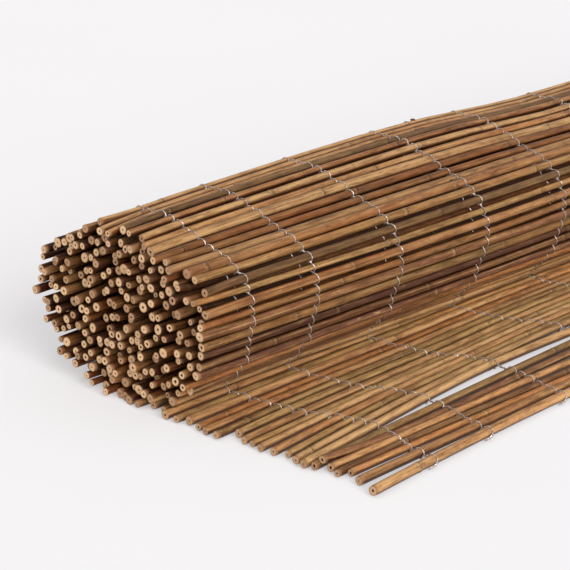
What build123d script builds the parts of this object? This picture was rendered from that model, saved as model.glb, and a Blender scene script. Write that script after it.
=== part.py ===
from build123d import *
from math import cos, pi
from random import Random
import os

# Bamboo screening roll: a long mat of thin canes held side by side by rows of twisted wire.
# The mat lies on the floor half unrolled. Its free end, the flap, is flat on the floor towards
# -Y, and the rest is wound into a slumped roll behind it.
# X runs along the canes, Z is up, and the origin is on the floor under the middle of it all.
# Cross-sections are laid out in (y, z), with y counted from the free edge of the flap.

# Canes, each sawn square at both ends and a little thinner at its upper end
cane_length = 1200.0
thickest_cane = 9.0
thinnest_cane = 7.4
thin_end_ratio = 0.88
cane_sides = 8
end_spread = 8.0
gap_in_flap = 3.6
gap_in_roll = 2.0
splay = 0.4

# Wire rows, measured from the near ends of the canes, the same at both ends of the mat
wire_thickness = 0.8
strand_pair_width = 1.6
first_row = 50.0
second_row_step = 78.0
third_row_step = 108.0
middle_spaces = 6
clearance = 0.3

# Flap on the floor, with a low hump behind its free edge that is higher at the far side
flap_length = 275.0
hump_start = 62.0
hump_end = 94.0
hump_foot = 140.0
hump_near = 5.0
hump_far = 11.0
split_after = 7
split_width = 6.0

# Roll: wound round a flat core line that begins above the end of the flap, and looser at the far
# side. The roll has slumped, so each corner of a turn lies in its own direction from an end of the
# core line, at the reach of the tightest winding times a looseness
core_width = 43.0
full_turns = 6
last_corner = 6
far_looseness = 1.05
winding = [
    # (end of the core line: 0 above the flap, 1 behind it; direction in degrees; looseness)
    (0, -90, 1.03),
    (1, -90, 1.08),
    (1, -43, 1.20),
    (1, -5, 1.33),
    (1, 17, 1.41),
    (1, 85, 1.14),
    (0, 81, 1.24),
    (0, 148, 1.38),
    (0, 166, 1.40),
    (0, -154, 1.27),
    (0, -124, 1.22),
]

floor_level = thickest_cane + clearance
layer_pitch = thickest_cane + wire_thickness + 2 * clearance
per_turn = len(winding)
last_number = full_turns * per_turn + last_corner


def sideways(points, distance):
    """Points of a line moved to its right-hand side, with mitred corners."""
    runs = [(b - a).normalized() for a, b in zip(points, points[1:])]
    sides = [Vector(run.Y, -run.X) for run in runs]
    moved = []
    for place, point in enumerate(points):
        before = sides[max(place - 1, 0)]
        after = sides[min(place, len(sides) - 1)]
        mitre = (before + after).normalized()
        moved.append(point + mitre * (distance / mitre.dot(before)))
    return moved


def roll_corner(number, x):
    """Corner of the inner wire at x, counted from where the flap runs under the roll to the core."""
    reach = layer_pitch * last_number / per_turn * (1 + (far_looseness - 1) * x / cane_length)
    side, direction, looseness = winding[number % per_turn]
    under = winding[side][2] * (1 - side / last_number)
    core = Vector(flap_length + side * core_width, floor_level + reach * under)
    out = reach * looseness * (1 - number / last_number)
    return core + Vector(out, 0).rotate(Axis.Z, direction)


def mat_line(x):
    """The inner wire in the cross-section at x, from the free edge to the core."""
    hump = hump_near + (hump_far - hump_near) * x / cane_length
    flap = [
        Vector(0, floor_level),
        Vector(hump_start, floor_level + hump),
        Vector(hump_end, floor_level + hump),
        Vector(hump_foot, floor_level),
    ]
    return flap + [roll_corner(number, x) for number in range(last_number + 1)]


flap_runs = 4
near_line = mat_line(0)
far_line = mat_line(cane_length)
run_lengths = [(b - a).length for a, b in zip(near_line, near_line[1:])]


def run_at(distance):
    """Number of the run that holds this distance along the mat, and the distance into it."""
    run = 0
    while run < len(run_lengths) - 1 and distance > run_lengths[run]:
        distance -= run_lengths[run]
        run += 1
    return run, distance


def centre(line, run, rest, radius):
    """Middle of a cane of this radius that lies on this run of the wire, this far into it."""
    direction = (line[run + 1] - line[run]).normalized()
    foot = line[run] + (line[run + 1] - line[run]) * (rest / run_lengths[run])
    return foot + Vector(direction.Y, -direction.X) * (clearance + radius)


# Every cane: its turn (0 is the flap), and its place, radius and x at each end
chance = Random(5)
canes = []
distance = 0.0
last_mean = 0.0
while True:
    thick_end = chance.uniform(thinnest_cane, thickest_cane) / 2
    thin_end = thick_end * thin_end_ratio
    mean = (thick_end + thin_end) / 2
    if canes:
        in_flap = run_at(distance)[0] < flap_runs
        distance += last_mean + mean + (gap_in_flap if in_flap else gap_in_roll)
        if len(canes) == split_after:
            distance += split_width
    else:
        distance = thick_end
    last_mean = mean
    if distance > sum(run_lengths):
        break
    run, rest = run_at(distance)
    far_rest = min(max(rest + chance.uniform(-splay, splay), 0.0), run_lengths[run])
    near_radius, far_radius = (thick_end, thin_end) if len(canes) % 2 == 0 else (thin_end, thick_end)
    canes.append(
        {
            "turn": 0 if run < flap_runs else 1 + (run - flap_runs) // per_turn,
            "near": centre(near_line, run, rest, near_radius),
            "far": centre(far_line, run, far_rest, far_radius),
            "near_radius": near_radius,
            "far_radius": far_radius,
            "near_x": chance.uniform(-end_spread, end_spread),
            "far_x": cane_length + chance.uniform(-end_spread, end_spread),
        }
    )

# Places of the wire rows along the canes
near_rows = [first_row, first_row + second_row_step, first_row + second_row_step + third_row_step]
middle_step = (cane_length - 2 * near_rows[-1]) / middle_spaces
middle_rows = [near_rows[-1] + middle_step * number for number in range(1, middle_spaces)]
far_rows = [cane_length - x for x in reversed(near_rows)]
rows = near_rows + middle_rows + far_rows


def outer_strand(x):
    """Inner and outer line of the strand outside the roll, where it is clear of the floor."""
    lifted = mat_line(x)[flap_runs + 2 : flap_runs + per_turn]
    from_end = min(x, cane_length - x) / cane_length
    over_canes = thickest_cane * (1 - (1 - thin_end_ratio) * from_end) + 2 * clearance
    return sideways(lifted, over_canes), sideways(lifted, over_canes + wire_thickness)


# The box round the whole mat, so that the origin comes under its middle
flat_reach = cos(pi / cane_sides)
ends = [(cane[end], cane[end + "_radius"]) for cane in canes for end in ("near", "far")]
lowest = min(place.Y - radius * flat_reach for place, radius in ends)
front = min(place.X - radius for place, radius in ends)
back = max(point.X for x in rows for point in outer_strand(x)[1])
middle_y = (front + back) / 2
middle_x = (min(cane["near_x"] for cane in canes) + max(cane["far_x"] for cane in canes)) / 2


def section(x):
    """Cross-section plane at x, laid out from the free edge of the flap and the floor."""
    return Plane(origin=(x - middle_x, -middle_y, -lowest), x_dir=(0, 1, 0), z_dir=(1, 0, 0))


def cane_solid(cane):
    """One cane, from its near end to its far end."""
    with BuildPart() as solid:
        for end in ("near", "far"):
            with BuildSketch(section(cane[end + "_x"])):
                with Locations((cane[end].X, cane[end].Y)):
                    RegularPolygon(cane[end + "_radius"], cane_sides, rotation=180 / cane_sides - 90)
        loft(ruled=True)
    return solid.part


def band(x, inner, outer):
    """Flat strip of wire between two lines, standing across the canes at x."""
    with BuildPart() as strip:
        with BuildSketch(section(x)):
            with BuildLine():
                Polyline(*inner, *reversed(outer), close=True)
            make_face()
        extrude(amount=strand_pair_width / 2, both=True)
    return strip.part


os.makedirs("parts", exist_ok=True)

# Canes: the flap, then each turn of the roll from the outside in
for turn in range(max(cane["turn"] for cane in canes) + 1):
    with BuildPart() as row_of_canes:
        add([cane_solid(cane) for cane in canes if cane["turn"] == turn])
    row_of_canes.part.label = f"roll_turn_{turn}" if turn else "flap_canes"
    export_step(row_of_canes.part, f"parts/{row_of_canes.part.label}.step")

# Wire rows: one line of wire inside the canes from the free edge to the core, and the strand
# that shows on the outside of the roll, from where it leaves the floor to where it goes under
for number, x in enumerate(rows, start=1):
    line = mat_line(x)
    with BuildPart() as wire_row:
        add(band(x, line, sideways(line, -wire_thickness)))
        add(band(x, *outer_strand(x)))
    wire_row.part.label = f"wire_row_{number}"
    export_step(wire_row.part, f"parts/{wire_row.part.label}.step")

# Sawn end that the mat stands on, and the free edge's cane where each wire row ties it
standing = min(canes, key=lambda cane: cane["near_x"])
stand = section(standing["near_x"]).from_local_coords(standing["near"])
print(f"canes {len(canes)}, turns {last_number / per_turn:.2f}, mat {sum(run_lengths):.0f} mm long")
print(f"standing end at {stand.X:.3f} {stand.Y:.3f} {stand.Z:.3f}")
for number, x in enumerate(rows, start=1):
    along = x / cane_length
    tie = section(x).from_local_coords(canes[0]["near"] * (1 - along) + canes[0]["far"] * along)
    print(f"edge tie {number} at {tie.X:.3f} {tie.Y:.3f} {tie.Z:.3f}")
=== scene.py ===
import math
from collections import namedtuple
import bmesh
import bpy
import numpy as np
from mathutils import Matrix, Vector


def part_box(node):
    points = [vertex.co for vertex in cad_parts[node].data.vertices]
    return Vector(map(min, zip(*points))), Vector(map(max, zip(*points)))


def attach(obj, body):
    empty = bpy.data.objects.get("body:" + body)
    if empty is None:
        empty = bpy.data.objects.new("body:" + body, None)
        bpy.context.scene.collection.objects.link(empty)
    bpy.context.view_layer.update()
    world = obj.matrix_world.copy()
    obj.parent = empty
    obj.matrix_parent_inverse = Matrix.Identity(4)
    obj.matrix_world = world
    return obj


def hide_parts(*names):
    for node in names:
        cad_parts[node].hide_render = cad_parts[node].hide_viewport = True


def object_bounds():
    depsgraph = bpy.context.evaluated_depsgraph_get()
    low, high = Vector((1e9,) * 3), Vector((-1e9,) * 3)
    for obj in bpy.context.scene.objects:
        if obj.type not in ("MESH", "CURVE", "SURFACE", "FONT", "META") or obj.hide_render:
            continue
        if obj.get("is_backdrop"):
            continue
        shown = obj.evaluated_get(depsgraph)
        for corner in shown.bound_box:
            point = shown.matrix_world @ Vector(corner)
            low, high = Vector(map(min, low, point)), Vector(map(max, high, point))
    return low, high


# Bamboo screening roll: detailed canes and twisted wires in place of the plain solids of the frame.
# Lengths are in metres. Every cane is read from the frame: its two ends and its two radii.

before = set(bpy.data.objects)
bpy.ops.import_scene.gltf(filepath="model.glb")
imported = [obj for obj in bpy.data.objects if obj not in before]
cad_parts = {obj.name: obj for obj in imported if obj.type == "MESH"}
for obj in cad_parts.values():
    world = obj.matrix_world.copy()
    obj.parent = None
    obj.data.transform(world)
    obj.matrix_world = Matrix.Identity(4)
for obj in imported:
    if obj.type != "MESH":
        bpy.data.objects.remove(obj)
cad_low, cad_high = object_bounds()

MM = 0.001
chance = np.random.default_rng(11)

# Shape of a cane: the points round it, its nodes with a groove past each and a bud on some, and how
# far the roll's canes differ in thickness. Nodes, grooves and buds rise by shares of the radius, and
# BUD_ANGLE is in radians. A cane with its middle within FLOOR_REACH of the floor has no bud
# underneath
SIDES = 14
NODE_SPACING = (0.19, 0.36)
SPACING_VARIES = (0.85, 1.15)
FIRST_NODE = 10.0 * MM
LAST_NODE = 8.0 * MM
NODE_SWELL = 0.07
NODE_LENGTH = 2.2 * MM
GROOVE_DEPTH = 0.03
GROOVE_PLACE = 4.0 * MM
GROOVE_LENGTH = 2.0 * MM
BUD_SHARE = 0.45
BUD_HEIGHT = 0.30
BUD_PLACE = 0.8 * MM
BUD_LENGTH = 2.4 * MM
BUD_ANGLE = 0.42
FLOOR_REACH = 12.0 * MM
THICKNESS = (0.86, 1.16)

# Bends from node to node, and the share of them left up and down in the flap
BEND_IN_ROLL = 1.0 * MM
BEND_IN_FLAP = 0.5 * MM
FLAP_BEND_UP = 0.3

# Sawn ends: the rim's bevel, the slope of a cut and how far it reaches into the cane, and the pith
# holes, as shares of the radius. Those under CLOSED_PITH are hardly open
RIM_BEVEL = 0.25 * MM
SAW_TILT = 0.10
TILT_REACH = 2.0 * MM
PITH_SIZES = (0.05, 0.16, 0.24, 0.34)
PITH_CHANCES = (0.4, 0.25, 0.22, 0.13)
PITH_BEVEL = 0.2 * MM
PITH_DEPTH = 5.0 * MM
CLOSED_PITH = 0.1
CLOSED_DEPTH = 0.4 * MM

# Rings along a cane: their number, and more of them at these distances from its ends and, where it
# is in view, from its nodes, in mm
RINGS_IN_VIEW = 26
RINGS_HIDDEN = 9
END_RINGS = (4.0, 12.0, 22.0, 36.0, 52.0)
NODE_RINGS = (-8.0, -4.5, -2.4, -1.2, 0.0, 1.2, 2.6, 5.0, 9.0)

# How the free ends of the canes splay beyond the outermost wire rows
FREE_LENGTH = 52.0 * MM
SPLAY_CURVE = 1.5
SPLAY_IN_ROLL = 1.9 * MM
SPLAY_OF_OUTSIDE = 1.0 * MM
SPLAY_IN_FLAP = 0.3 * MM

# Canes that overlap are pushed apart in rounds, each time by a share of what they lack to the room
# between them. The bends come on top of this, so that some canes still touch
ROOM = 0.15 * MM
PUSHES = 80
PUSH_SHARE = 0.4

# Near ends of the canes: they start within END_SPREAD of one plane. Inside the roll only the share
# FLUSH of that spread is left, but the share SET_BACK_SHARE of them is set back
END_SPREAD = 8.0 * MM
FLUSH = 0.6
SET_BACK = (2.8 * MM, 14.0 * MM)
SET_BACK_SHARE = 0.15

# Swelling of the roll along its length: (distance from the near ends, rise of the top), in mm. It
# grows from none at RISE_FROM over the floor to full at RISE_FULL, and is less inside RISE_RADIUS
ROLL_RISE = [(0, -2), (100, 1.5), (250, 5), (350, 6), (430, 5), (510, 1), (560, -1.5), (650, -1), (800, 0)]
RISE_FROM = 50.0 * MM
RISE_FULL = 100.0 * MM
RISE_RADIUS = 80.0 * MM

# The front canes of the flap, from its free edge. They fan out from the near end and leave a
# lens-shaped gap behind the seventh. For each distance along the canes, where each cane's middle
# is from the edge; then their radii, and how far along each of them starts. From FLAP_STRAIGHT on
# they lie as in the frame. All in mm, but for OVER_FLOOR, which is how far above the floor they lie
FLAP_PLACES = {
    0: (-2, 19, 35, 43, 54, 61, 65, 73, 85, 98, 111, 124, 135, 145),
    90: (5, 22, 37, 47, 55, 63, 73, 86, 99, 110, 121, 133, 142, 153),
    285: (15, 29, 38, 48, 60, 72, 85, 109, 119, 130, 137, 145, 154, 162),
    400: (15, 30, 40, 50, 61, 77, 91, 110, 127, 136, 145, 153, 163, 171),
}
FLAP_RADII = (4.4, 4.2, 3.5, 3.4, 4.0, 3.8, 4.0, 4.2, 4.0, 3.5, 4.0, 3.8, 3.2, 3.8)
FLAP_STARTS = (-1, 6, 14, 6, 10, 7, 3, -1, 1, 6, 1, -1, 1, 1)
FLAP_STRAIGHT = 950
OVER_FLOOR = 1.0 * MM

# One of them rides up on its neighbours at its near end: its number, and its rise there
RAISED_CANE = 5
RAISED_BY = 5.5 * MM

# The stub of a side branch on the roll's top edge: its place along the roll and in canes above the
# edge, its size, how deep it sits in the cane, how far it tapers, how much longer than wide it is,
# and its shade
STUB_PLACE = 420.0 * MM
STUB_ABOVE = 1
STUB_LENGTH = 4.0 * MM
STUB_RADIUS = 2.4 * MM
STUB_LEAN = 3.0 * MM
STUB_ROOT = 0.4
STUB_TAPER = 0.35
STUB_OVAL = 1.5
STUB_RINGS = 5
STUB_SHADE = 0.2

# Wires: radius of a strand and of the twist of two, how far a strand leans along its cane in twist
# radii, the room under it, its points round a cane in degrees, and the least gap between two canes
# in view that has three half turns in it
STRAND_RADIUS = 0.56 * MM
STRAND_SIDES = 6
TWIST_RADIUS = 0.62 * MM
TWIST_LEAN = 1.5
UNDER_STRAND = 0.08 * MM
FINE_ANGLES = (-72, -40, 0, 40, 72)
PLAIN_ANGLES = (-60, 0, 60)
WIDE_GAP = 3.0 * MM

# The twisted tail of each wire row, curled down beside the flap's edge
TAIL_LENGTH = 10.0 * MM
TAIL_STEPS = 14
TAIL_HALF_TURNS = 5
TAIL_BESIDE = 1.2 * MM
TAIL_CURL = 1.5 * MM
TAIL_END_HEIGHT = 1.0 * MM

# How far along the canes a wire row wanders in the flap: (number of the cane from the free edge, mm)
ROW_DRIFT = [(0, 30), (3, 39), (7, 50), (10, 42), (14, 24), (18, 18), (24, 14), (46, 0)]

# Tones of bamboo, as places on the colour ramp, and the tones of the canes in full view: those of
# the flap from its free edge, and those of the roll from its top edge down the front
TONES = {"straw": 0.04, "tan": 0.20, "orange": 0.38, "olive": 0.55, "brown": 0.74, "purple": 0.94}
TONE_VARIES = 0.04
FLAP_TONES = (
    "tan tan orange brown tan brown olive straw straw olive tan straw olive tan olive "
    "olive tan orange tan olive tan brown olive tan"
)
ROLL_TONES = (
    "tan tan straw tan orange purple orange tan brown olive olive brown tan straw tan orange "
    "olive orange tan orange tan orange brown orange tan orange orange orange orange orange"
)

# The top edge of the roll is where a line of sight with this slope touches it, and ROLL_TONES
# begin this many canes above it
SIGHT_SLOPE = 0.5
ABOVE_TOP_EDGE = 3

# Shade of each cane, from 0 for the darkest to 1, by where it lies. The outside is darker the more
# it faces up past a rise of DARKER_FROM and paler below that: painted shade on its top and painted
# light on its front. Its top edge starts out pale, painted light on canes that face away from the key sun
SHADES = {"flap_canes": (0.42, 0.90), "roll_turn_1": (0.05, 0.66)}
INNER_SHADES = (0.35, 1.0)
TOP_EDGE_SHADE = 0.74
DARKER_TOP = 0.34
DARKER_FROM = 0.4

# How far round a cane the painted shade from its neighbours is pushed back
OPENNESS = {"flap_canes": 0.24, "roll_turn_1": 0.0}
INNER_OPENNESS = 0.27
OPENNESS_OF_EDGE = 0.7

# Light: a white sky, a key sun from the flap's side and a low fill sun from the camera's side, with
# their widths and the key's angles in degrees. The floor's own share of its brightness is FLOOR_GLOW
SKY_STRENGTH = 0.58
KEY_STRENGTH = 2.75
KEY_WIDTH = 35
KEY_ANGLES = (58, -32, 0)
FILL_STRENGTH = 0.75
FILL_WIDTH = 60
FILL_DIRECTION = (0.78, 0.58, -0.22)
FLOOR_SIZE = 30
FLOOR_GLOW = 0.45

# Camera: taken from the lines of the photograph, its place counted from the flap's free edge
CAMERA_PLACE = (-1.8556, -1.1240, 0.7606)
CAMERA_PITCH = 19.07
CAMERA_HEADING = 44.18
CAMERA_LENS = 145.3

# Distance to a node where there is none, places taken as one, the least angle in degrees of a sharp
# edge, and the directions (y, z) of the points round a cane
NO_NODE = 1.0
SAME_PLACE = 0.001 * MM
SHARP_ANGLE = 50
AROUND = np.arange(SIDES) * 2 * math.pi / SIDES
DIRECTIONS = np.stack([np.cos(AROUND), np.sin(AROUND)], axis=-1)


# Canes read from the frame

def rings_of_canes(node):
    """Both end rings of each cane in a node, as (near points, far points)."""
    bm = bmesh.new()
    bm.from_mesh(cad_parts[node].data)
    bmesh.ops.remove_doubles(bm, verts=bm.verts, dist=0.01 * MM)
    seen = set()
    found = []
    for start in bm.verts:
        if start in seen:
            continue
        seen.add(start)
        stack = [start]
        island = []
        while stack:
            vert = stack.pop()
            island.append(tuple(vert.co))
            for edge in vert.link_edges:
                other = edge.other_vert(vert)
                if other not in seen:
                    seen.add(other)
                    stack.append(other)
        points = np.array(island)
        middle = (points[:, 0].min() + points[:, 0].max()) / 2
        found.append((points[points[:, 0] < middle], points[points[:, 0] > middle]))
    bm.free()
    return found


def read_cane(near, far):
    """Ends and radii of one cane."""
    ends = [ring.mean(axis=0) for ring in (near, far)]
    radii = [np.linalg.norm((ring - end)[:, 1:], axis=1).max() for ring, end in zip((near, far), ends)]
    return {"near": ends[0], "far": ends[1], "near_radius": radii[0], "far_radius": radii[1]}


def along_the_mat(canes, start):
    """The canes of one turn in the order in which the mat passes through them."""
    left = list(canes)
    ordered = []
    here = start
    while left:
        left.sort(key=lambda cane: np.linalg.norm((cane["near"] - here)[1:]), reverse=True)
        ordered.append(left.pop())
        here = ordered[-1]["near"]
    return ordered


cane_nodes = ["flap_canes"] + sorted(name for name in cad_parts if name.startswith("roll_turn_"))
wire_nodes = sorted(
    (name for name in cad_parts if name.startswith("wire_row_")),
    key=lambda name: int(name.rsplit("_", 1)[1]),
)
free_edge = np.array([0.0, cad_low.y, 0.0])
mat = []
turns = {}
for node in cane_nodes:
    canes = [read_cane(near, far) for near, far in rings_of_canes(node)]
    start = mat[-1]["near"] if mat else free_edge
    turns[node] = along_the_mat(canes, start)
    mat.extend(turns[node])
    for cane in turns[node]:
        cane["node"] = node

flap = turns["flap_canes"]
outside = turns["roll_turn_1"]
roll = [cane for cane in mat if cane["node"] != "flap_canes"]
roll_middle = np.mean([cane["near"][1:] for cane in roll], axis=0)
near_end = cad_low.x + END_SPREAD


# Character of each cane

def give_character(cane):
    """Nodes, bends, colour and saw cuts of one cane."""
    in_flap = cane["node"] == "flap_canes"
    x0, x1 = cane["near"][0], cane["far"][0]
    spots = []
    x = x0 + chance.uniform(FIRST_NODE, NODE_SPACING[1])
    spacing = chance.uniform(*NODE_SPACING)
    while x < x1 - LAST_NODE:
        spots.append(x)
        x += spacing * chance.uniform(*SPACING_VARIES)
    cane["nodes"] = np.array(spots)
    amount = BEND_IN_FLAP if in_flap else BEND_IN_ROLL
    cane["kink_x"] = np.concatenate([[x0], spots, [x1]])
    cane["kinks"] = chance.uniform(-amount, amount, (len(spots) + 2, 2))
    if in_flap:
        cane["kinks"][:, 1] *= FLAP_BEND_UP
    cane["tone"] = chance.uniform()
    cane["shade"] = chance.uniform(*SHADES.get(cane["node"], INNER_SHADES))
    cane["offset"] = chance.uniform(-5.0, 5.0, 3)
    cane["bud_side"] = chance.uniform(0, 2 * math.pi)
    cane["has_bud"] = chance.uniform(size=len(spots)) < BUD_SHARE
    if cane["near"][2] < cad_low.z + FLOOR_REACH:
        bud_sides = cane["bud_side"] + math.pi * np.arange(len(spots))
        cane["has_bud"] = cane["has_bud"] & (np.sin(bud_sides) > 0)
    cane["tilt"] = chance.uniform(-SAW_TILT, SAW_TILT, (2, 2))
    cane["pith"] = chance.choice(PITH_SIZES, 2, p=PITH_CHANCES)


def set_tones(canes, names):
    """Give canes their named tones, each a little off."""
    for cane, name in zip(canes, names.split()):
        cane["tone"] = TONES[name] + chance.uniform(-TONE_VARIES, TONE_VARIES)


def face_out(cane):
    """The side (y, z) on which the cane shows, its openness, and for the outside its shade, with painted
    shade and light by how it faces.
    """
    out = cane["near"][1:] - roll_middle
    shows = {"flap_canes": np.array([0.0, 1.0]), "roll_turn_1": out / np.linalg.norm(out)}
    cane["out"] = shows.get(cane["node"], np.zeros(2))
    cane["openness"] = OPENNESS.get(cane["node"], INNER_OPENNESS)
    # Painted shade on the outside's canes that face up, and painted light on those that face sideways and
    # down
    if cane["node"] == "roll_turn_1":
        facing_painted_shade = DARKER_TOP * (cane["out"][1] - DARKER_FROM)
        cane["shade"] = float(np.clip(cane["shade"] - facing_painted_shade, 0, 1))


for cane in mat:
    give_character(cane)

top_edge = max(
    range(len(outside)),
    key=lambda number: outside[number]["near"][2] + SIGHT_SLOPE * outside[number]["near"][1],
)
set_tones(flap, FLAP_TONES)
set_tones(outside[top_edge - ABOVE_TOP_EDGE :], ROLL_TONES)
# Painted light: the canes at the top edge face away from the key sun and are made paler
for cane in outside[top_edge - ABOVE_TOP_EDGE : top_edge + ABOVE_TOP_EDGE]:
    cane["shade"] = TOP_EDGE_SHADE

for cane in roll:
    thickness = chance.uniform(*THICKNESS)
    cane["near_radius"] *= thickness
    cane["far_radius"] *= thickness
for cane, radius in zip(flap, FLAP_RADII):
    cane["near_radius"] = cane["far_radius"] = radius * MM
for cane in mat:
    face_out(cane)
flap[0]["openness"] = OPENNESS_OF_EDGE


# Where the canes run

def pushed_apart(spots, radii):
    """Places (y, z) of round canes, moved apart where they overlap and kept above the floor."""
    moved = spots.copy()
    reach = radii[:, None] + radii[None, :] + ROOM
    others = 1 - np.eye(len(spots))
    for _ in range(PUSHES):
        apart = moved[:, None] - moved[None]
        distance = np.linalg.norm(apart, axis=2) + np.eye(len(spots))
        overlap = np.clip(reach - distance, 0, None) * others
        moved += PUSH_SHARE * (apart / distance[..., None] * overlap[..., None]).sum(axis=1)
        moved[:, 1] = np.maximum(moved[:, 1], cad_low.z + OVER_FLOOR + radii)
    return moved


def smooth(part):
    """Smooth step from 0 to 1."""
    part = np.clip(part, 0, 1)
    return part * part * (3 - 2 * part)


def curve_at(x, places, values):
    """Smooth curve through the values at these places, level from the last one on."""
    slopes = np.gradient(values, places)
    slopes[-1] = 0.0
    span = np.clip(np.searchsorted(places, x) - 1, 0, len(places) - 2)
    step = places[span + 1] - places[span]
    part = np.clip((x - places[span]) / step, 0, 1)
    bump = part * (1 - part)
    risen = smooth(part)
    lean = bump * ((1 - part) * slopes[span] - part * slopes[span + 1])
    return values[span] * (1 - risen) + values[span + 1] * risen + step * lean


def radius_at(cane, x):
    """Radius of a cane at x, without its node swellings."""
    part = (x - cane["near"][0]) / (cane["far"][0] - cane["near"][0])
    return cane["near_radius"] + part * (cane["far_radius"] - cane["near_radius"])


def straight_at(cane, x):
    """Centre (y, z) of a cane at x in the frame's solids."""
    part = (x - cane["near"][0]) / (cane["far"][0] - cane["near"][0])
    return cane["near"][1:] + np.multiply.outer(part, cane["far"][1:] - cane["near"][1:])


def lay_flap(station, places):
    """Add to each flap cane's track its shift (y, z) at this station, in mm from the near ends.

    The front canes lie at their places, and the others are closed up behind them.
    """
    x = near_end + station * MM
    spots = np.array([straight_at(cane, x) for cane in flap])
    radii = np.array([radius_at(cane, x) for cane in flap])
    last = len(places) - 1
    share = (spots[last:, 0] - spots[last, 0]) / (spots[-1, 0] - spots[last, 0])
    spots[last:, 0] += (cad_low.y + places[last] * MM - spots[last, 0]) * (1 - share)
    spots[:last, 0] = [cad_low.y + place * MM for place in places[:last]]
    spots[:, 1] = cad_low.z + OVER_FLOOR + radii
    if station == 0:
        spots[RAISED_CANE, 1] += RAISED_BY
    for cane, spot in zip(flap, pushed_apart(spots, radii)):
        cane["track"].append(spot - straight_at(cane, x))


def shift_at(cane, x):
    """Shift (y, z) of a cane at x from its place in the frame's solids."""
    if "track" in cane:
        return np.stack([curve_at(x, cane["track_x"], shifts) for shifts in cane["track"].T], axis=-1)
    out = cane["near"][1:] - roll_middle
    far_out = min(1.0, np.linalg.norm(out) / RISE_RADIUS) ** 2
    raised = smooth((cane["near"][2] - RISE_FROM) / (RISE_FULL - RISE_FROM)) * far_out
    rise = np.interp((x - near_end) / MM, *zip(*ROLL_RISE)) * MM
    return np.multiply.outer(rise * raised, out / np.linalg.norm(out))


def splay_of(end):
    """Sideways shift of each cane's free end, random but pushed apart where canes overlap."""
    radii = np.array([cane[end + "_radius"] for cane in mat])
    spread = {"flap_canes": SPLAY_IN_FLAP, "roll_turn_1": SPLAY_OF_OUTSIDE}
    amounts = np.array([spread.get(cane["node"], SPLAY_IN_ROLL) for cane in mat])
    spots = np.array([cane[end][1:] + shift_at(cane, cane[end][0]) for cane in mat])
    splayed = spots + chance.normal(size=spots.shape) * amounts[:, None]
    return pushed_apart(splayed, radii) - spots


def middle_at(cane, x):
    """Centre (y, z) of a cane at x, with its bends and its splayed ends, clear of the floor."""
    bend = [np.interp(x, cane["kink_x"], cane["kinks"][:, axis]) for axis in (0, 1)]
    near_free = np.clip(1 - (x - cane["near"][0]) / FREE_LENGTH, 0, 1) ** SPLAY_CURVE
    far_free = np.clip(1 - (cane["far"][0] - x) / FREE_LENGTH, 0, 1) ** SPLAY_CURVE
    splay = np.multiply.outer(near_free, cane["near_splay"])
    splay = splay + np.multiply.outer(far_free, cane["far_splay"])
    centre = straight_at(cane, x) + np.stack(bend, axis=-1) + splay + shift_at(cane, x)
    lowest = cad_low.z + radius_at(cane, x) * (1 + NODE_SWELL)
    centre[..., 1] = np.maximum(centre[..., 1], lowest)
    return centre


for cane in flap:
    cane["track"] = []
for station, places in FLAP_PLACES.items():
    lay_flap(station, places)
for cane in flap:
    cane["track_x"] = near_end + np.array([*FLAP_PLACES, FLAP_STRAIGHT]) * MM
    cane["track"] = np.array(cane["track"] + [np.zeros(2)])

for end in ("near", "far"):
    for cane, shift in zip(mat, splay_of(end)):
        cane[end + "_splay"] = shift

for cane in mat:
    cane["start"], cane["finish"] = cane["near"][0], cane["far"][0]
for cane in roll:
    if cane["node"] != "roll_turn_1":
        cane["start"] = near_end + (cane["start"] - near_end) * FLUSH
        if chance.uniform() < SET_BACK_SHARE:
            cane["start"] += chance.uniform(*SET_BACK)
for cane, start in zip(flap, FLAP_STARTS):
    cane["start"] = near_end + start * MM


# Meshes

class MeshParts:
    """Vertices, faces and point attributes gathered for one mesh."""

    def __init__(self):
        self.points = []
        self.faces = []
        self.values = {}
        self.count = 0

    def add_rings(self, rings, **values):
        """A closed tube through rings of points, of shape (rings, sides, 3)."""
        number, sides, _ = rings.shape
        first = self.count
        self.points.append(rings.reshape(-1, 3))
        self.count += number * sides
        turn = np.arange(sides)
        after = (turn + 1) % sides
        for ring in range(number - 1):
            low = first + ring * sides
            high = low + sides
            corners = (low + turn, high + turn, high + after, low + after)
            self.faces.extend(zip(*(corner.tolist() for corner in corners)))
        self.faces.append(tuple(range(first, first + sides)))
        self.faces.append(tuple(reversed(range(self.count - sides, self.count))))
        for name, value in values.items():
            self.values.setdefault(name, []).append(value)

    def make(self, name, material):
        """The mesh object, smooth except at sharp edges."""
        mesh = bpy.data.meshes.new(name)
        mesh.from_pydata(np.concatenate(self.points).tolist(), [], self.faces)
        for attribute, parts in self.values.items():
            data = np.concatenate(parts)
            if data.ndim == 1:
                layer = mesh.attributes.new(attribute, "FLOAT", "POINT")
                layer.data.foreach_set("value", data.astype(np.float32))
            else:
                layer = mesh.attributes.new(attribute, "FLOAT_VECTOR", "POINT")
                layer.data.foreach_set("vector", data.astype(np.float32).ravel())
        mesh.polygons.foreach_set("use_smooth", np.ones(len(mesh.polygons), bool))
        mesh.set_sharp_from_angle(angle=math.radians(SHARP_ANGLE))
        mesh.update()
        mesh.materials.append(material)
        thing = bpy.data.objects.new(name, mesh)
        bpy.context.scene.collection.objects.link(thing)
        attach(thing, "root")
        return thing


def ring_places(cane, in_view):
    """Where along a cane its rings lie: close together at the nodes, far apart between them."""
    first = cane["start"] + RIM_BEVEL
    last = cane["finish"] - RIM_BEVEL
    places = [np.linspace(first, last, RINGS_IN_VIEW if in_view else RINGS_HIDDEN)]
    for offset in END_RINGS:
        places.append([cane["start"] + offset * MM, cane["finish"] - offset * MM])
    if in_view:
        for offset in NODE_RINGS:
            places.append(cane["nodes"] + offset * MM)
    xs = np.unique(np.round(np.concatenate(places), 5))
    return xs[(xs >= first - SAME_PLACE) & (xs <= last + SAME_PLACE)]


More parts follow.
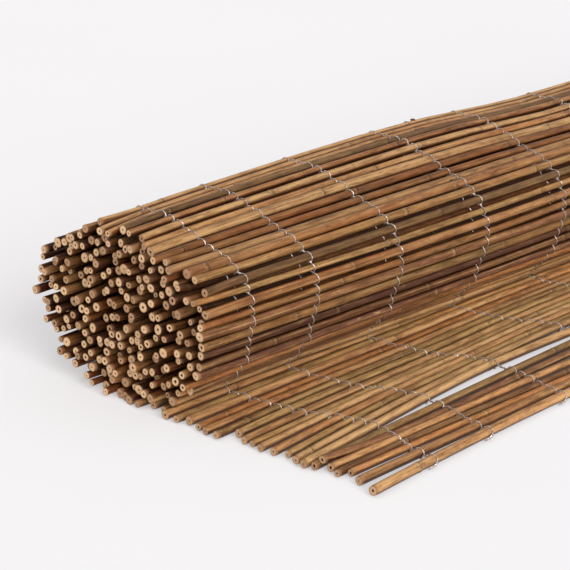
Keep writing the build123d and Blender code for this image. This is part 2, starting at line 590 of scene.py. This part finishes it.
def node_swelling(offsets):
    """Share by which a cane is thicker at these distances past its nearest node."""
    swelling = NODE_SWELL * np.exp(-(offsets / NODE_LENGTH) ** 2)
    return swelling - GROOVE_DEPTH * np.exp(-((offsets - GROOVE_PLACE) / GROOVE_LENGTH) ** 2)


def bud_swelling(cane, nearest, offsets):
    """The same for its buds, which stand on alternate sides, for each point of each ring."""
    side = cane["bud_side"] + math.pi * nearest
    turn = np.angle(np.exp(1j * (AROUND[None, :] - side[:, None])))
    along = np.exp(-((offsets - BUD_PLACE) / BUD_LENGTH) ** 2)
    bud = np.exp(-(turn / BUD_ANGLE) ** 2) * along[:, None]
    return BUD_HEIGHT * bud * cane["has_bud"][nearest][:, None]


def side_rows(cane, in_view):
    """Rings of a cane's side: place, centre, radii, distance past a node, reach and whether sawn."""
    xs = ring_places(cane, in_view)
    to_nodes = xs[:, None] - cane["nodes"][None, :]
    nearest = np.abs(to_nodes).argmin(axis=1)
    offsets = to_nodes[np.arange(len(xs)), nearest]
    radius = radius_at(cane, xs) * (1 + node_swelling(offsets))
    radii = np.repeat(radius[:, None], SIDES, axis=1)
    if in_view:
        radii = radii * (1 + bud_swelling(cane, nearest, offsets))
    return [(*row, 1.0, 0.0) for row in zip(xs, middle_at(cane, xs), radii, offsets)]


def end_rows(cane, x, inward, pith):
    """Rings of one sawn end, from the rim in to the bottom of the pith hole."""
    centre = middle_at(cane, x)
    outer = radius_at(cane, x)
    hole = outer * pith
    profile = [
        # (depth, radius, reach: place between the pith and the rim)
        (0.0, outer - RIM_BEVEL, 0.93),
        (0.0, outer * 0.7, 0.7),
        (0.0, hole + PITH_BEVEL, pith + 0.04),
        (0.3 * MM, hole, 0.0),
        (PITH_DEPTH if pith > CLOSED_PITH else CLOSED_DEPTH, hole * 0.8, 0.0),
    ]
    return [
        (x + inward * depth, centre, np.full(SIDES, radius), NO_NODE, reach, 1.0)
        for depth, radius, reach in profile
    ]


def add_cane(parts, cane, in_view):
    """One cane: its side with nodes and buds, and its two sawn ends with the pith hole."""
    x0, x1 = cane["start"], cane["finish"]
    near_rows = end_rows(cane, x0, 1, cane["pith"][0])[::-1]
    far_rows = end_rows(cane, x1, -1, cane["pith"][1])
    rows = near_rows + side_rows(cane, in_view) + far_rows
    rings = np.empty((len(rows), SIDES, 3))
    local = np.empty((len(rows), SIDES, 3))
    for number, (x, centre, radii, *_) in enumerate(rows):
        across = radii[:, None] * DIRECTIONS
        tilt = cane["tilt"][0 if x - x0 < x1 - x else 1]
        closeness = max(0.0, 1 - min(x - x0, x1 - x) / TILT_REACH)
        rings[number, :, 0] = x + across @ tilt * closeness
        rings[number, :, 1:] = centre + across
        local[number, :, 0] = x
        local[number, :, 1:] = across
    node_distance, reach, sawn = np.repeat([row[3:] for row in rows], SIDES, axis=0).T
    character = [cane["tone"], cane["shade"], float(cane["node"] == "flap_canes")]
    parts.add_rings(
        rings,
        local=(local + cane["offset"]).reshape(-1, 3),
        character=np.tile(character, (len(rows) * SIDES, 1)),
        # how far each point faces out of the mat, which sets the painted shade between the canes
        open_side=np.tile(DIRECTIONS @ cane["out"] + cane["openness"], len(rows)),
        node_distance=node_distance,
        reach=reach,
        sawn=sawn,
    )


def add_stub(parts, cane, x):
    """The broken stub of a side branch, standing out of a cane at x."""
    root = middle_at(cane, x) + cane["out"] * radius_at(cane, x) * STUB_ROOT
    side = np.array([-cane["out"][1], cane["out"][0]])
    rings = np.empty((STUB_RINGS, SIDES, 3))
    for number, step in enumerate(np.linspace(0, 1, STUB_RINGS)):
        radius = STUB_RADIUS * (1 - STUB_TAPER * step)
        centre = root + cane["out"] * STUB_LENGTH * step
        rings[number, :, 0] = x - STUB_LEAN * step + radius * STUB_OVAL * np.cos(AROUND)
        rings[number, :, 1:] = centre + radius * np.outer(np.sin(AROUND), side)
    size = STUB_RINGS * SIDES
    parts.add_rings(
        rings,
        local=rings.reshape(-1, 3) + cane["offset"],
        character=np.tile([TONES["brown"], STUB_SHADE, 0.0], (size, 1)),
        open_side=np.ones(size),
        node_distance=np.full(size, NO_NODE),
        reach=np.ones(size),
        sawn=np.zeros(size),
    )


def tube_rings(points):
    """Rings of a strand through points, turned as little as possible."""
    points = np.asarray(points)
    runs = np.gradient(points, axis=0)
    runs /= np.linalg.norm(runs, axis=1)[:, None]
    up = np.cross(runs[0], [1.0, 0.0, 0.0])
    angles = np.arange(STRAND_SIDES) * 2 * math.pi / STRAND_SIDES
    rings = np.empty((len(points), STRAND_SIDES, 3))
    for number, (point, run) in enumerate(zip(points, runs)):
        up = up - run * up.dot(run)
        up /= np.linalg.norm(up)
        side = np.cross(run, up)
        round_it = np.outer(np.cos(angles), up) + np.outer(np.sin(angles), side)
        rings[number] = point + STRAND_RADIUS * round_it
    return rings


# Wires

Crossing = namedtuple("Crossing", "x centre radius way out")


def crossings(base):
    """Where a wire row crosses each cane, with the way along the mat and the way out of it."""
    xs = base + np.interp(np.arange(len(mat)), *zip(*ROW_DRIFT)) * MM
    centres = np.array([middle_at(cane, x) for cane, x in zip(mat, xs)])
    radii = [radius_at(cane, x) for cane, x in zip(mat, xs)]
    ways = np.gradient(centres, axis=0)
    ways /= np.linalg.norm(ways, axis=1)[:, None]
    outward = np.stack([ways[:, 1], -ways[:, 0]], axis=1)
    return [Crossing(*row) for row in zip(xs, centres, radii, ways, outward)]


def over_floor(x, flat):
    """Point of a strand at x, at this place (y, z) but not in the floor."""
    return (x, flat[0], max(flat[1], cad_low.z + STRAND_RADIUS))


def tail_points(first, side):
    """Points of one strand's tail, from its free end to the first cane."""
    beside = first.centre - first.way * (first.radius + TAIL_BESIDE)
    points = []
    for step in range(TAIL_STEPS):
        part = step / TAIL_STEPS
        turn = math.pi * ((1 - side) / 2 + TAIL_HALF_TURNS * (part - 1))
        twist = TWIST_RADIUS * (first.out * math.cos(turn) + first.way * math.sin(turn))
        curl = np.array([-TAIL_CURL * math.sin(math.pi * part), 0.0])
        drop = np.array([0.0, (1 - part) * (first.radius - TAIL_END_HEIGHT)])
        points.append(over_floor(first.x - TAIL_LENGTH * (1 - part), beside + twist + curl - drop))
    return points


def points_over(cane, side, angles):
    """Points of a strand round one side of a cane."""
    reach = cane.radius + STRAND_RADIUS + UNDER_STRAND
    points = []
    for angle in angles:
        turn = math.radians(angle)
        across = math.cos(turn) * side * cane.out + math.sin(turn) * cane.way
        lean = side * TWIST_LEAN * TWIST_RADIUS * math.sin(turn)
        points.append(over_floor(cane.x + lean, cane.centre + reach * across))
    return points


def points_between(cane, after, side, in_view):
    """Points of a strand where it twists with the other between a cane and the one after it."""
    start = cane.centre + cane.way * cane.radius
    end = after.centre - after.way * after.radius
    normal = cane.out + after.out
    normal = normal / np.linalg.norm(normal)
    half_turns = 3 if in_view and np.linalg.norm(end - start) > WIDE_GAP else 1
    points = []
    for step in range(1, 2 * half_turns):
        part = step / (2 * half_turns)
        turn = math.pi * ((1 - side) / 2 + half_turns * part)
        flat = start + (end - start) * part + normal * TWIST_RADIUS * math.cos(turn)
        points.append(over_floor(cane.x + (after.x - cane.x) * part + TWIST_RADIUS * math.sin(turn), flat))
    return points


def strand(row, side):
    """Points of one strand of a wire row, from its tail to the core.

    The side is 1 on the outside of the mat and -1 on its inside. It is given for the free edge's
    cane and changes from cane to cane.
    """
    points = tail_points(row[0], side)
    for number, cane in enumerate(row):
        in_view = number < len(flap) + len(outside)
        points += points_over(cane, side, FINE_ANGLES if in_view else PLAIN_ANGLES)
        if number + 1 < len(row):
            points += points_between(cane, row[number + 1], side, in_view)
        side = -side
    return points


# Materials

def new_material(name):
    """A material with an empty tree but for its shader and output."""
    material = bpy.data.materials.new(name)
    material.use_nodes = True
    tree = material.node_tree
    tree.nodes.clear()
    output = tree.nodes.new("ShaderNodeOutputMaterial")
    shader = tree.nodes.new("ShaderNodeBsdfPrincipled")
    tree.links.new(shader.outputs["BSDF"], output.inputs["Surface"])
    return material, tree, shader


def srgb(red, green, blue):
    """Linear colour from 0 to 255 display values."""
    values = []
    for channel in (red, green, blue):
        part = channel / 255
        values.append(part / 12.92 if part <= 0.04045 else ((part + 0.055) / 1.055) ** 2.4)
    return (*values, 1.0)


def attribute(tree, name, output):
    """The value of a point attribute of the mesh."""
    node = tree.nodes.new("ShaderNodeAttribute")
    node.attribute_name = name
    return node.outputs[output]


def noise(tree, vector, stretch, detail=3.0, rough=0.55):
    """Noise with its own grain along and across the cane, in cycles per metre."""
    scaled = tree.nodes.new("ShaderNodeVectorMath")
    scaled.operation = "MULTIPLY"
    tree.links.new(vector, scaled.inputs[0])
    scaled.inputs[1].default_value = (stretch[0], stretch[1], stretch[1])
    node = tree.nodes.new("ShaderNodeTexNoise")
    node.inputs["Scale"].default_value = 1.0
    node.inputs["Detail"].default_value = detail
    node.inputs["Roughness"].default_value = rough
    tree.links.new(scaled.outputs[0], node.inputs["Vector"])
    return node.outputs["Fac"]


def ramp(tree, fac, stops):
    """Colour from a ramp with these stops: (position, colour)."""
    node = tree.nodes.new("ShaderNodeValToRGB")
    elements = node.color_ramp.elements
    while len(elements) < len(stops):
        elements.new(0.5)
    for element, (position, colour) in zip(elements, stops):
        element.position = position
        element.color = colour
    tree.links.new(fac, node.inputs["Fac"])
    return node.outputs["Color"]


def mix(tree, fac, first, second, mode="MIX"):
    """Two colours mixed. They are in the node's sockets 6 and 7."""
    node = tree.nodes.new("ShaderNodeMix")
    node.data_type = "RGBA"
    node.blend_type = mode
    for value, socket in ((fac, node.inputs[0]), (first, node.inputs[6]), (second, node.inputs[7])):
        if isinstance(value, (int, float, tuple)):
            socket.default_value = value
        else:
            tree.links.new(value, socket)
    return node.outputs[2]


def maths(tree, operation, first, second=0.0, clamp=False):
    """Result of an operation on two values."""
    node = tree.nodes.new("ShaderNodeMath")
    node.operation = operation
    node.use_clamp = clamp
    for value, socket in ((first, node.inputs[0]), (second, node.inputs[1])):
        if isinstance(value, (int, float)):
            socket.default_value = value
        else:
            tree.links.new(value, socket)
    return node.outputs[0]


def remap(tree, value, low, high, to_low=0.0, to_high=1.0):
    """The value moved smoothly from one range to another."""
    node = tree.nodes.new("ShaderNodeMapRange")
    node.interpolation_type = "SMOOTHSTEP"
    tree.links.new(value, node.inputs["Value"])
    node.inputs["From Min"].default_value = low
    node.inputs["From Max"].default_value = high
    node.inputs["To Min"].default_value = to_low
    node.inputs["To Max"].default_value = to_high
    return node.outputs["Result"]


def blend(tree, colour, other, mask, amount):
    """The colour with another laid over it where the mask is 1."""
    return mix(tree, maths(tree, "MULTIPLY", mask, amount), colour, other)


def band_around(tree, value, half_width, fade):
    """1 where the value is within half_width of 0, fading to 0."""
    return remap(tree, maths(tree, "ABSOLUTE", value), half_width + fade, half_width)


def bare_skin(tree, local, tone, streaks, fibres):
    """The cane's own tone, drifting along it, with lengthwise streaks and fibres."""
    drift = maths(tree, "SUBTRACT", noise(tree, local, (6.0, 60.0), 2.0), 0.5)
    tone = maths(tree, "ADD", tone, maths(tree, "MULTIPLY", drift, 0.45), clamp=True)
    skin = ramp(tree, tone, [
        (0.00, srgb(212, 168, 114)),
        (0.20, srgb(192, 144, 94)),
        (0.38, srgb(182, 118, 66)),
        (0.55, srgb(158, 124, 76)),
        (0.74, srgb(134, 90, 56)),
        (0.96, srgb(104, 66, 48)),
    ])
    skin = blend(tree, skin, srgb(92, 52, 26), remap(tree, streaks, 0.50, 0.70), 0.50)
    pale_streaks = noise(tree, local, (7.0, 520.0), 3.0, 0.6)
    skin = blend(tree, skin, srgb(230, 188, 124), remap(tree, pale_streaks, 0.54, 0.72), 0.50)
    return blend(tree, skin, srgb(84, 50, 28), remap(tree, fibres, 0.45, 0.75), 0.35)


def weathered_skin(tree, local, skin):
    """Dull and pale patches, and scars and mottled stains in loose groups."""
    patches = noise(tree, local, (38.0, 300.0), 5.0, 0.78)
    dulled = mix(tree, 1.0, skin, (0.56, 0.50, 0.44, 1.0), "MULTIPLY")
    skin = mix(tree, remap(tree, patches, 0.56, 0.36), skin, dulled)
    skin = blend(tree, skin, srgb(224, 186, 128), remap(tree, patches, 0.56, 0.72), 0.45)
    groups = remap(tree, noise(tree, local, (9.0, 25.0), 1.0), 0.52, 0.62)
    spots = remap(tree, noise(tree, local, (70.0, 220.0), 5.0, 0.75), 0.48, 0.66)
    return blend(tree, skin, srgb(82, 50, 36), maths(tree, "MULTIPLY", groups, spots), 0.50)


def skin_with_nodes(tree, local, skin):
    """At each node a thin dark ring, a pale rise before it, and dark scars around it."""
    millimetres = maths(tree, "MULTIPLY", attribute(tree, "node_distance", "Fac"), 1000.0)
    rise = band_around(tree, maths(tree, "ADD", millimetres, 2.6), 0.6, 1.6)
    skin = blend(tree, skin, srgb(214, 180, 128), rise, 0.22)
    skin = blend(tree, skin, srgb(74, 44, 28), band_around(tree, millimetres, 0.25, 0.9), 0.50)
    scars = remap(tree, noise(tree, local, (420.0, 420.0), 3.0, 0.7), 0.46, 0.60)
    near_node = band_around(tree, millimetres, 2.0, 7.0)
    return blend(tree, skin, srgb(70, 42, 30), maths(tree, "MULTIPLY", scars, near_node), 0.55)


def skin_with_painted_gap_shade(tree, skin, shade):
    """Every cane has its own shade, partly painted shade and light on the outside, and its sides that face
    its neighbours get painted shade.
    """
    tint = tree.nodes.new("ShaderNodeCombineColor")
    for channel, strength in enumerate((0.46, 0.41, 0.38)):
        tree.links.new(remap(tree, shade, 0.0, 1.0, strength, 1.15), tint.inputs[channel])
    skin = mix(tree, 1.0, skin, tint.outputs[0], "MULTIPLY")
    # Painted shade: the sides of a cane that face its neighbours are made darker and redder, standing in
    # for the shade between the canes
    hidden = remap(tree, attribute(tree, "open_side", "Fac"), 0.78, 0.10)
    gap_painted_shade = mix(tree, 1.0, skin, (0.15, 0.065, 0.025, 1.0), "MULTIPLY")
    return blend(tree, skin, gap_painted_shade, hidden, 0.92)


def sawn_end(tree, local, in_flap):
    """Pale and speckled, with a darker rim and pith, and weathered in the flap and in places."""
    speckle = noise(tree, local, (900.0, 1600.0), 2.0, 0.6)
    cut = ramp(tree, speckle, [
        (0.30, srgb(184, 136, 94)),
        (0.50, srgb(224, 184, 142)),
        (0.72, srgb(242, 210, 170)),
    ])
    weathered = remap(tree, noise(tree, local, (3.0, 3.0), 0.0), 0.50, 0.62)
    weathered = maths(tree, "MAXIMUM", weathered, maths(tree, "MULTIPLY", in_flap, 0.75))
    cut = blend(tree, cut, srgb(128, 84, 52), weathered, 0.55)
    reach = attribute(tree, "reach", "Fac")
    cut = blend(tree, cut, srgb(120, 74, 42), remap(tree, reach, 0.74, 0.96), 0.75)
    return blend(tree, cut, srgb(60, 30, 16), remap(tree, reach, 0.28, 0.06), 0.92)


def bamboo_material():
    """Satin skin of the canes, a little uneven, and their dull sawn ends."""
    material, tree, shader = new_material("bamboo_cane")
    local = attribute(tree, "local", "Vector")
    character = tree.nodes.new("ShaderNodeSeparateXYZ")
    tree.links.new(attribute(tree, "character", "Vector"), character.inputs[0])
    tone, shade, in_flap = character.outputs
    streaks = noise(tree, local, (5.0, 330.0), 3.0, 0.6)
    fibres = noise(tree, local, (12.0, 2200.0), 3.0, 0.7)
    skin = bare_skin(tree, local, tone, streaks, fibres)
    skin = weathered_skin(tree, local, skin)
    skin = skin_with_nodes(tree, local, skin)
    skin = skin_with_painted_gap_shade(tree, skin, shade)
    sawn = attribute(tree, "sawn", "Fac")
    colour = mix(tree, sawn, skin, sawn_end(tree, local, in_flap))
    tree.links.new(colour, shader.inputs["Base Color"])

    satin = remap(tree, fibres, 0.2, 0.8, 0.34, 0.48)
    roughness = maths(tree, "ADD", satin, maths(tree, "MULTIPLY", sawn, 0.3))
    tree.links.new(roughness, shader.inputs["Roughness"])
    shader.inputs["Specular IOR Level"].default_value = 0.28

    bump = tree.nodes.new("ShaderNodeBump")
    bump.inputs["Strength"].default_value = 0.35
    bump.inputs["Distance"].default_value = 0.0002
    tree.links.new(maths(tree, "ADD", fibres, streaks), bump.inputs["Height"])
    tree.links.new(bump.outputs["Normal"], shader.inputs["Normal"])
    return material


def wire_material():
    """Dull galvanised wire, darker in patches."""
    material, tree, shader = new_material("galvanised_wire")
    coordinates = tree.nodes.new("ShaderNodeTexCoord").outputs["Object"]
    patches = noise(tree, coordinates, (500.0, 500.0), 3.0)
    colour = ramp(tree, patches, [
        (0.30, srgb(130, 112, 102)),
        (0.55, srgb(190, 174, 164)),
        (0.75, srgb(232, 220, 212)),
    ])
    tree.links.new(colour, shader.inputs["Base Color"])
    tree.links.new(remap(tree, patches, 0.3, 0.7, 0.48, 0.34), shader.inputs["Roughness"])
    shader.inputs["Metallic"].default_value = 0.55
    return material


def floor_material():
    """A pale floor that shows the object's shadow softly, and is darker where it lights the object."""
    material, tree, shader = new_material("pale_floor")
    coordinates = tree.nodes.new("ShaderNodeTexCoord").outputs["Object"]
    cloudy = noise(tree, coordinates, (3.0, 3.0), 2.0)
    pale = ramp(tree, cloudy, [(0.0, srgb(244, 242, 243)), (1.0, srgb(246, 244, 245))])
    path = tree.nodes.new("ShaderNodeLightPath")
    seen = maths(tree, "MAXIMUM", path.outputs["Is Camera Ray"], path.outputs["Is Glossy Ray"])
    seen = maths(tree, "MAXIMUM", seen, path.outputs["Is Transmission Ray"])
    tree.links.new(mix(tree, seen, srgb(206, 202, 200), pale), shader.inputs["Base Color"])
    shader.inputs["Roughness"].default_value = 0.9
    shader.inputs["Specular IOR Level"].default_value = 0.0
    glow = tree.nodes.new("ShaderNodeEmission")
    tree.links.new(pale, glow.inputs["Color"])
    both = tree.nodes.new("ShaderNodeMixShader")
    tree.links.new(maths(tree, "MULTIPLY", seen, FLOOR_GLOW), both.inputs[0])
    tree.links.new(shader.outputs["BSDF"], both.inputs[1])
    tree.links.new(glow.outputs["Emission"], both.inputs[2])
    tree.links.new(both.outputs[0], tree.nodes["Material Output"].inputs["Surface"])
    return material


# Pieces

bamboo = bamboo_material()
wire = wire_material()

for node in cane_nodes:
    parts = MeshParts()
    for cane in turns[node]:
        add_cane(parts, cane, node in ("flap_canes", "roll_turn_1"))
    if node == "roll_turn_1":
        add_stub(parts, outside[top_edge - STUB_ABOVE], near_end + STUB_PLACE)
    piece = parts.make("bamboo_" + node, bamboo)
    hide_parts(node)

for node in wire_nodes:
    low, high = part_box(node)
    row = crossings((low.x + high.x) / 2)
    parts = MeshParts()
    for side in (1, -1):
        parts.add_rings(tube_rings(strand(row, side)))
    piece = parts.make("twisted_" + node, wire)
    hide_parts(node)


# Stage

def add_floor():
    """The floor that the mat lies on."""
    bpy.ops.mesh.primitive_plane_add(size=FLOOR_SIZE, location=(0, 0, cad_low.z))
    floor = bpy.context.object
    floor.name = "floor"
    floor.data.materials.append(floor_material())
    floor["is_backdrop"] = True


def add_sky():
    """Even white light from all round."""
    world = bpy.data.worlds.new("world")
    world.use_nodes = True
    world.node_tree.nodes["Background"].inputs["Color"].default_value = (1, 1, 1, 1)
    world.node_tree.nodes["Background"].inputs["Strength"].default_value = SKY_STRENGTH
    bpy.context.scene.world = world


def add_sun(name, strength, width, rotation):
    """A sun of this width in degrees."""
    light = bpy.data.lights.new(name, "SUN")
    light.energy = strength
    light.angle = math.radians(width)
    sun = bpy.data.objects.new(name, light)
    sun.rotation_euler = rotation
    bpy.context.scene.collection.objects.link(sun)


def add_camera():
    """The camera, at its place before the flap's near corner."""
    lens = bpy.data.cameras.new("camera")
    lens.sensor_width = 36
    lens.lens = CAMERA_LENS
    lens.clip_end = 50
    camera = bpy.data.objects.new("camera", lens)
    camera.location = (CAMERA_PLACE[0], cad_low.y + CAMERA_PLACE[1], CAMERA_PLACE[2])
    camera.rotation_euler = (math.radians(90 - CAMERA_PITCH), 0, math.radians(CAMERA_HEADING - 90))
    bpy.context.scene.collection.objects.link(camera)
    bpy.context.scene.camera = camera


add_floor()
add_sky()
add_sun("fill", FILL_STRENGTH, FILL_WIDTH, Vector(FILL_DIRECTION).to_track_quat("-Z", "Y").to_euler())
add_sun("key", KEY_STRENGTH, KEY_WIDTH, [math.radians(angle) for angle in KEY_ANGLES])
add_camera()
bpy.context.scene.view_settings.view_transform = "Standard"

low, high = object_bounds()
